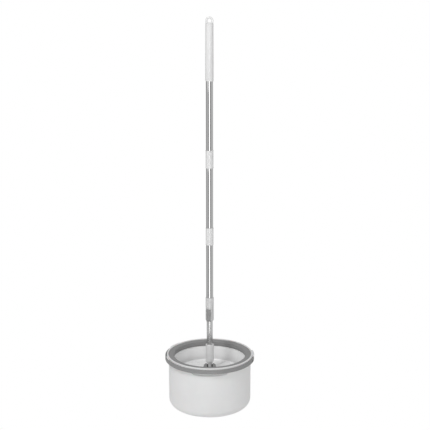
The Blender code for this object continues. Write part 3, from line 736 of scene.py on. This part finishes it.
# %% Screws of the socket
SCREW_CIRCLE, SCREW_Z = 0.0235, 0.1226
tree, given = recipe("pan_screws", Screws=4, Circle=0.0, Finish=PLATED)
shank = add(tree, "GeometryNodeMeshCylinder", {"Vertices": 20, "Radius": 0.0014, "Depth": 0.0092})
shank_at = add(tree, "GeometryNodeTransform", {"Geometry": shank.outputs["Mesh"],
                                               "Translation": (0, 0, -0.0044)})
head = add(tree, "GeometryNodeMeshCone", {"Vertices": 28, "Radius Bottom": 0.0028,
                                          "Radius Top": 0.0020, "Depth": 0.0015})
head_at = add(tree, "GeometryNodeTransform", {"Geometry": head.outputs["Mesh"],
                                              "Translation": (0, 0, 0.0004)})
bars = [add(tree, "GeometryNodeMeshCube", {"Size": size}).outputs["Mesh"]
        for size in ((0.0030, 0.0006, 0.0020), (0.0006, 0.0030, 0.0020))]
cross = add(tree, "GeometryNodeMeshBoolean", {1: bars[0]}, operation="UNION")
tree.links.new(bars[1], cross.inputs[1])
cross_at = add(tree, "GeometryNodeTransform", {"Geometry": cross.outputs["Mesh"],
                                               "Translation": (0, 0, 0.0022)})
recess = add(tree, "GeometryNodeMeshBoolean", {0: head_at.outputs[0], 1: cross_at.outputs[0]},
             operation="DIFFERENCE")
whole = add(tree, "GeometryNodeJoinGeometry", {0: shank_at.outputs[0]})
tree.links.new(recess.outputs["Mesh"], whole.inputs[0])
row = round_row(tree, given["Screws"], given["Circle"], whole.outputs[0])
deliver(tree, real(tree, row, SCREW_Z, math.radians(45)), given["Finish"])
settle("plate_screws", grown(tree, Screws=4, Circle=SCREW_CIRCLE, Finish=PLATED), PLATED,
       "mop_head", [f"plate_screw_{n}" for n in (1, 2, 3, 4)])

# %% [markdown]
# ## Mop pad
#
# The pad is a stuffed disc of loop pile held under the plate. Its core is blown up a little with
# Cloth pressure, so that its edge is full and its seam line pulls in, as sewn padding does. A tree
# then plants a loop of yarn on every few millimetres of the underside and the edge. Each loop has
# few faces, because there are thousands of them.

# %% Mop pad core
PAD_R, PAD_LOW, PAD_HIGH, PILE = 0.1085, 0.0888, 0.1045, 0.0060
core = rounded([
    (0, PAD_LOW + PILE + 0.0016), (PAD_R - 0.0095, PAD_LOW + PILE + 0.0016, 0.0020),
    (PAD_R - 0.0070, 0.1000, 0.0015), (PAD_R - 0.0095, PAD_HIGH - 0.0006, 0.0016),
    (0, PAD_HIGH - 0.0006),
])
CELL, PRESSURE, MOMENTS, MOST_SWELL = 0.0030, 4, 12, 0.0012
pad = staged("pad_core", outward("pad_core", turned(core, 96)))
knit = pad.modifiers.new("knit", "REMESH")
knit.mode = "VOXEL"
knit.voxel_size = CELL
mesh = evaluated(pad)
pad.modifiers.remove(knit)
pad.data = mesh
before = [v.co.copy() for v in mesh.vertices]
cloth = pad.modifiers.new("cloth", "CLOTH")
cloth.settings.use_pressure = True
cloth.settings.uniform_pressure_force = PRESSURE
cloth.settings.effector_weights.gravity = 0
for moment in range(1, MOMENTS + 1):
    scene.frame_set(moment)
mesh = evaluated(pad)
pad.modifiers.remove(cloth)
scene.frame_set(1)
pad.data = mesh
# the swelling stays small and below the plate
for v, home in zip(pad.data.vertices, before):
    step = v.co - home
    if step.length > MOST_SWELL:
        v.co = home + step.normalized() * MOST_SWELL
    v.co.z = min(v.co.z, PAD_HIGH)
print("pad core", len(pad.data.polygons), "faces")

# %% [markdown]
# Every loop is one short Bezier arch swept with a four-sided yarn. A little random lean, twist and
# size keeps the rows from looking combed.

# %% Mop pad loops
tree, given = recipe("loop_pile", Geometry=None, Density=0.0, Yarn=0.0, Seed=1, Finish=FIBRE)
facing = add(tree, "ShaderNodeSeparateXYZ", {0: add(tree, "GeometryNodeInputNormal").outputs[0]})
outside = add(tree, "ShaderNodeMath", {0: facing.outputs["Z"], 1: 0.35}, operation="LESS_THAN")
spots = add(tree, "GeometryNodeDistributePointsOnFaces", {
    "Mesh": given["Geometry"], "Selection": outside.outputs[0], "Seed": given["Seed"],
    "Distance Min": 0.0022, "Density Max": given["Density"]}, distribute_method="POISSON")
bend = add(tree, "GeometryNodeCurvePrimitiveBezierSegment", {
    "Resolution": 5, "Start": (-0.0011, 0, -0.0006), "Start Handle": (-0.0022, 0.0004, 0.0064),
    "End Handle": (0.0022, -0.0004, 0.0064), "End": (0.0011, 0, -0.0006)})
yarn = add(tree, "GeometryNodeCurvePrimitiveCircle", {"Resolution": 4, "Radius": given["Yarn"]})
loop = add(tree, "GeometryNodeCurveToMesh", {"Curve": bend.outputs[0],
                                             "Profile Curve": yarn.outputs[0]})
twirl = add(tree, "FunctionNodeRandomValue", {0: (-0.45, -0.45, 0.0), 1: (0.45, 0.45, 6.28),
                                              "Seed": given["Seed"]}, data_type="FLOAT_VECTOR")
lean = add(tree, "FunctionNodeRotateRotation", {
    "Rotation": spots.outputs["Rotation"],
    "Rotate By": add(tree, "FunctionNodeEulerToRotation", {0: twirl.outputs[0]}).outputs[0]},
    rotation_space="LOCAL")
size = add(tree, "FunctionNodeRandomValue", {"Min": 0.85, "Max": 1.15, "Seed": given["Seed"]})
planted = add(tree, "GeometryNodeInstanceOnPoints", {
    "Points": spots.outputs["Points"], "Instance": loop.outputs[0],
    "Rotation": lean.outputs[0], "Scale": size.outputs[1]})
both = add(tree, "GeometryNodeJoinGeometry", {0: real(tree, planted.outputs[0])})
tree.links.new(given["Geometry"], both.inputs[0])
deliver(tree, both.outputs[0], given["Finish"])
mesh = grown(tree, start_mesh=pad.data, Density=90000.0, Yarn=0.00055, Seed=7, Finish=FIBRE)
bpy.data.objects.remove(pad)
for v in mesh.vertices:
    v.co.z = max(v.co.z, PAD_LOW)
pad = settle("mop_pad_pile", mesh, FIBRE, "mop_head", ["mop_pad"])

# %% [markdown]
# ## Foot
#
# The white foot narrows to a rounded nose where it turns in the grey socket. The tilt pin lies
# across the socket, and a rubber washer on each side of the nose gives it its grip.

# %% Foot and its pin
FOOT_Z, SLEEVE_R, SLEEVE_TOP = 0.1315, 0.0130, 0.2060
OUTER_R, INNER_R, THIN = 0.0111, 0.0097, 0.0007
foot = rounded([
    (0, FOOT_Z - 0.0062), (0.0048, FOOT_Z - 0.0052, 0.0012), (0.0061, FOOT_Z - 0.0020, 0.0010),
    (0.0061, FOOT_Z + 0.0060, 0.0030), (SLEEVE_R, 0.1500, 0.0030), (SLEEVE_R, SLEEVE_TOP, 0.0012),
    (INNER_R + GAP, SLEEVE_TOP), (INNER_R + GAP, 0.1597), (0, 0.1597),
])
piece("foot_white", turned(foot, SLIM), WHITE_ABS, "inner_pole", ["foot_sleeve"])

PIN_R, PIN_HALF, WASHER_R = 0.0022, 0.0184, 0.0057
pin = rounded([
    (0, -PIN_HALF), (PIN_R, -PIN_HALF, 0.0003), (PIN_R, PIN_HALF, 0.0003), (0, PIN_HALF)], FINE)
across = Matrix.Translation((0, 0, FOOT_Z)) @ Matrix.Rotation(math.pi / 2, 4, "Y")
bm = turned(pin, 32)
bmesh.ops.transform(bm, matrix=across, verts=bm.verts)
piece("tilt_pin_bar", bm, PLATED, "mop_head", ["tilt_pin"])
bm = bmesh.new()
for near, far in ((-0.0092, -0.0063), (0.0063, 0.0092)):
    absorb(bm, turned(rounded([(PIN_R, near), (WASHER_R, near, 0.0005), (WASHER_R, far, 0.0005),
                               (PIN_R, far)], FINE), 48))
bmesh.ops.transform(bm, matrix=across, verts=bm.verts)
piece("tilt_washers", bm, RUBBER, "mop_head")

# %% [markdown]
# ## Pole
#
# The pole is a stack of thin tubes. Their cut ends are rolled slightly inwards, so that no raw edge
# shows. White collars cover the two screwed joints, each with a fine bead at its ends.


# %% Tubes and collars
def ends(node):
    """Lowest and highest point of a plain part."""
    return (corner[2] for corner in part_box(node))


for name, node, radius, finish, body in (
    ("pipe_inner", "inner_tube", INNER_R, SATIN, "inner_pole"),
    ("pipe_lower", "lower_tube", OUTER_R, STEEL, "outer_pole"),
    ("pipe_middle", "middle_tube", OUTER_R, STEEL, "outer_pole"),
    ("pipe_upper", "upper_tube", OUTER_R, STEEL, "outer_pole"),
):
    low, high = ends(node)
    tube = rounded([(radius - THIN, low), (radius, low, 0.0005), (radius, high, 0.0005),
                    (radius - THIN, high)], FINE)
    piece(name, turned(tube, SLIM), finish, body, [node])

for n in (1, 2):
    low, high = ends(f"collar_{n}")
    collar = rounded([
        (OUTER_R + GAP, low), (0.0125, low, 0.0006), (0.0125, low + 0.0030, 0.0003),
        (0.0122, low + 0.0036, 0.0003), (0.0121, (low + high) / 2), (0.0122, high - 0.0036, 0.0003),
        (0.0125, high - 0.0030, 0.0003), (0.0125, high, 0.0006), (OUTER_R + GAP, high),
    ], FINE)
    piece(f"collar_white_{n}", turned(collar, SLIM), WHITE_ABS, "outer_pole", [f"collar_{n}"])

# %% [markdown]
# ## Grip and hanging loop
#
# The grip is a long smooth sleeve, a little fuller at its lower end.

# %% Grip
low, high = ends("grip_sleeve")
grip = rounded([
    (OUTER_R + GAP, low), (0.0128, low, 0.0008), (0.0127, low + 0.05), (0.0123, high, 0.0006),
    (OUTER_R + GAP, high),
], FINE)
piece("grip_white", turned(grip, SLIM), WHITE_ABS, "outer_pole", ["grip_sleeve"])

# %% [markdown]
# The cap above the grip is an upright loop, flat like a key, with a rounded hole for a hook. It is
# one outline with a hole, given its thickness and bevelled all round.

# %% Hanging loop
LOOP_TOP, LOOP_X, LOOP_Y, HOLE_X = 1.2470, 0.0122, 0.0045, 0.0054
LOOP_FOOT, HOLE_LOW, HOLE_HIGH = 1.2262, 1.2283, 1.2402
AROUND = 48            # points round the loop
SQUARE = 0.35          # how square its foot is: 1 is round, 0 is square
HOLE_BEVEL = 0.6       # bevel of the hole as a share of the outer one


def hoop(wide, low, high):
    """Points of an upright hoop as (x, z): half-round top and rounded foot."""
    waist = high - wide
    for k in range(AROUND):
        a = 2 * math.pi * (k / AROUND)
        x, z = math.cos(a), math.sin(a)
        if z >= 0:
            yield wide * x, waist + wide * z
        else:
            yield (wide * math.copysign(abs(x) ** SQUARE, x),
                   waist - (waist - low) * abs(z) ** SQUARE)


def bridge(bm, near, far):
    """Faces between two closed rows of points."""
    count = len(near)
    for k in range(count):
        bm.faces.new((near[k], near[(k + 1) % count], far[(k + 1) % count], far[k]))


bm = bmesh.new()
bands = []
for y, inset in ((-LOOP_Y, 0.0011), (-LOOP_Y + 0.0003, 0.0005), (-LOOP_Y + 0.0011, 0.0),
                 (LOOP_Y - 0.0011, 0.0), (LOOP_Y - 0.0003, 0.0005), (LOOP_Y, 0.0011)):
    outer = hoop(LOOP_X - inset, LOOP_FOOT + inset, LOOP_TOP - inset)
    shy = inset * HOLE_BEVEL
    inner = hoop(HOLE_X + shy, HOLE_LOW - shy, HOLE_HIGH + shy)
    bands.append([[bm.verts.new((x, y, z)) for x, z in side] for side in (outer, inner)])
for near, far in zip(bands, bands[1:]):
    for side in (0, 1):
        bridge(bm, near[side], far[side])
for band in (bands[0], bands[-1]):
    bridge(bm, *band)
absorb(bm, turned(rounded([
    (0, 1.2000), (0.0101, 1.2000, 0.0005), (0.0101, 1.2250), (0.0120, 1.2253, 0.0002),
    (0.0120, 1.2275, 0.0006), (0, 1.2278)], FINE), SLIM))
piece("hang_loop_white", bm, WHITE_ABS, "outer_pole", ["hang_loop"])

# %% [markdown]
# ## Lock housing and lever
#
# The housing clamps the inner tube. It is a plain sleeve with two cheeks that hold the lever's pin.

# %% Lock housing
LEVER_YAW = math.radians(-12)
LEVER_Y, LEVER_Z, LEVER_HALF = -0.0158, 0.3240, 0.0070
HOUSING_R, HOUSING_LOW, HOUSING_HIGH, STEP_Z = 0.0130, 0.2880, 0.3640, 0.3377
housing = rounded([
    (INNER_R + GAP, HOUSING_LOW, 0.0005), (HOUSING_R, HOUSING_LOW, 0.0010),
    (HOUSING_R, HOUSING_LOW + 0.0500), (HOUSING_R, HOUSING_HIGH, 0.0012),
    (OUTER_R + GAP, HOUSING_HIGH), (OUTER_R + GAP, STEP_Z), (INNER_R + GAP, STEP_Z),
])
bm = turned(housing, SLIM)
# side outline of a cheek as (y, z) from the pin's height: a plate with a half-round nose
CHEEK_ROOT, CHEEK_TALL, NOSE_R, NOSE_Z = -0.0080, 0.0062, 0.0024, 0.0025
cheek = [(CHEEK_ROOT, CHEEK_TALL), (CHEEK_ROOT, -CHEEK_TALL)]
for middle, degrees in ((-NOSE_Z, (270, 240, 210, 180)), (NOSE_Z, (180, 150, 120, 90))):
    for a in map(math.radians, degrees):
        cheek.append((LEVER_Y + NOSE_R * math.cos(a), middle + NOSE_R * math.sin(a)))
for side in (-1, 1):
    shell = bmesh.new()
    near, far = ([shell.verts.new((side * x, y, LEVER_Z + z)) for y, z in cheek]
                 for x in (LEVER_HALF + GAP, LEVER_HALF + 0.0026))
    bridge(shell, near, far)
    shell.faces.new(near[::-1])
    shell.faces.new(far)
    bmesh.ops.bevel(shell, geom=shell.edges[:], offset=0.0004, segments=2, affect="EDGES",
                    clamp_overlap=True)
    bmesh.ops.transform(shell, matrix=Matrix.Rotation(LEVER_YAW, 4, "Z"), verts=shell.verts)
    absorb(bm, shell)
piece("lock_housing_grey", bm, GREY_ABS, "outer_pole", ["lock_housing"])

# %% [markdown]
# The lever is one curved blade: its side outline is drawn once and pushed across, with rounded
# edges and a tip that stands off for the thumb.

# %% Lock lever
# side outline of the blade as (y, z) from the pin: front face down, round the tip, back face up
KNUCKLE = 0.0027
front = [(-0.0027, 0.0), (-0.0030, -0.0040), (-0.0031, -0.0120), (-0.0034, -0.0200),
         (-0.0041, -0.0270), (-0.0052, -0.0330), (-0.0049, -0.0347), (-0.0038, -0.0352),
         (-0.0027, -0.0350)]
back = [(-0.0012, -0.0290), (-0.0002, -0.0220), (0.0005, -0.0150), (0.0008, -0.0080),
        (0.0019, -0.0019)]
top = [(KNUCKLE * math.cos(a), KNUCKLE * math.sin(a))
       for a in map(math.radians, range(-15, 180, 15))]
blade = front + back + top
# Towards its two sides the blade shrinks onto its core line, which rounds the edges. Below
# TAPER_Z its width draws in by a tenth.
CORE_Y, CORE_LOW, TAPER_Z, TAPER_SPAN = -0.0012, -0.0330, -0.018, 0.017
bm = bmesh.new()
slices = []
for x, shrink in ((-1.0, 0.0007), (-0.97, 0.0003), (-0.90, 0.0), (-0.45, 0.0), (0.0, 0.0),
                  (0.45, 0.0), (0.90, 0.0), (0.97, 0.0003), (1.0, 0.0007)):
    line = []
    for y, z in blade:
        inward = Vector((CORE_Y - y, max(CORE_LOW, min(0, z)) - z))
        if inward.length > 1e-9:
            inward = inward.normalized() * min(shrink, inward.length)
        wide = LEVER_HALF * (1.0 - 0.10 * max(0.0, (TAPER_Z - z) / TAPER_SPAN) ** 2)
        line.append(bm.verts.new((x * wide, LEVER_Y + y + inward.x, LEVER_Z + z + inward.y)))
    slices.append(line)
for near, far in zip(slices, slices[1:]):
    bridge(bm, near, far)
bm.faces.new(slices[0][::-1])
bm.faces.new(slices[-1])
bmesh.ops.transform(bm, matrix=Matrix.Rotation(LEVER_YAW, 4, "Z"), verts=bm.verts)
piece("lock_lever_grey", bm, GREY_PP, "lever", ["lock_lever"])

# %% [markdown]
# ## Twisted drive rod
#
# Pressing the handle spins the mop, because a square bar inside it is twisted like a screw, one
# turn every 90 mm, and slides through a nut. Its shape is a rule, so a node tree draws it: a
# straight line, tilted more the higher it goes, with a square swept along it.

# %% Twisted drive rod
PITCH = 0.090
tree, given = recipe("twisted_rod", Low=0.0, High=0.0, Side=0.0, Pitch=0.0, Steps=200,
                     Finish=PLATED)
foot_end = add(tree, "ShaderNodeCombineXYZ", {"Z": given["Low"]})
head_end = add(tree, "ShaderNodeCombineXYZ", {"Z": given["High"]})
line = add(tree, "GeometryNodeCurvePrimitiveLine", {"Start": foot_end.outputs[0],
                                                    "End": head_end.outputs[0]})
fine = add(tree, "GeometryNodeResampleCurve", {"Curve": line.outputs[0], "Count": given["Steps"]})
height = add(tree, "ShaderNodeSeparateXYZ",
             {0: add(tree, "GeometryNodeInputPosition").outputs[0]}).outputs["Z"]
turns = add(tree, "ShaderNodeMath", {0: height, 1: given["Pitch"]}, operation="DIVIDE")
angle = add(tree, "ShaderNodeMath", {0: turns.outputs[0], 1: 2 * math.pi}, operation="MULTIPLY")
wound = add(tree, "GeometryNodeSetCurveTilt", {"Curve": fine.outputs[0], "Tilt": angle.outputs[0]})
square = add(tree, "GeometryNodeCurvePrimitiveQuadrilateral", {"Width": given["Side"],
                                                               "Height": given["Side"]})
bar = add(tree, "GeometryNodeCurveToMesh", {
    "Curve": wound.outputs[0], "Profile Curve": square.outputs[0], "Fill Caps": True})
deliver(tree, real(tree, bar.outputs[0]), given["Finish"])
low, high = ends("spiral_rod")
rod_mesh = grown(tree, Low=low, High=high, Side=0.0050, Pitch=PITCH, Steps=200, Finish=PLATED)
settle("twisted_rod", rod_mesh, PLATED, "outer_pole", ["spiral_rod"])
